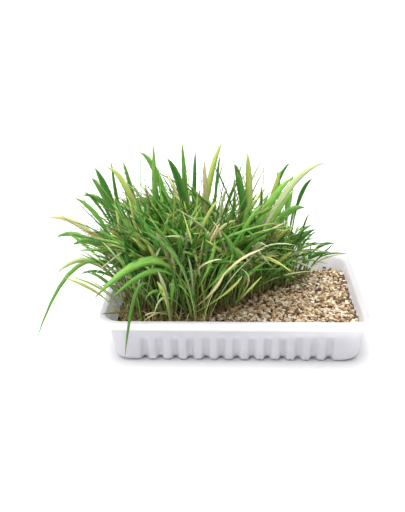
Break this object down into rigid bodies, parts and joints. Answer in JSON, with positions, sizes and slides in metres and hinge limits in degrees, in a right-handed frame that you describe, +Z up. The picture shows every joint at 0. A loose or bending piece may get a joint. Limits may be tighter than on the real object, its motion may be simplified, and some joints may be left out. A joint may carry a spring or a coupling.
{
  "type": "wheatgrass tray",
  "caption": "Wheatgrass growing in a bed of vermiculite, in a rectangular white plastic tray with scalloped walls and an out-turned rim.",
  "frame": {"origin": "centre of the tray's flat underside, on the surface that it stands on", "axes": "+Z up, +X along the tray's long side towards its bare end, +Y towards its back"},
  "size_m": [0.2335, 0.164, 0.136],
  "materials": {
    "tray_plastic": "satin white polypropylene",
    "vermiculite": "matt loose mineral flakes",
    "grass": "fresh leaf, slightly waxy"
  },
  "bodies": {
    "root": {"tray": "tray_plastic", "vermiculite_bed": "vermiculite", "grass_clump_01": "grass", "grass_clump_02": "grass", "grass_clump_03": "grass", "grass_clump_04": "grass", "grass_clump_05": "grass", "grass_clump_06": "grass", "grass_clump_07": "grass", "grass_clump_08": "grass", "grass_clump_09": "grass", "grass_clump_10": "grass", "grass_clump_11": "grass", "grass_clump_12": "grass", "grass_clump_13": "grass", "grass_clump_14": "grass", "grass_clump_15": "grass", "grass_clump_16": "grass", "grass_clump_17": "grass", "grass_clump_18": "grass", "grass_clump_19": "grass", "grass_clump_20": "grass", "grass_clump_21": "grass", "grass_clump_22": "grass", "grass_clump_23": "grass", "grass_clump_24": "grass", "grass_clump_25": "grass"}
  },
  "joints": []
}
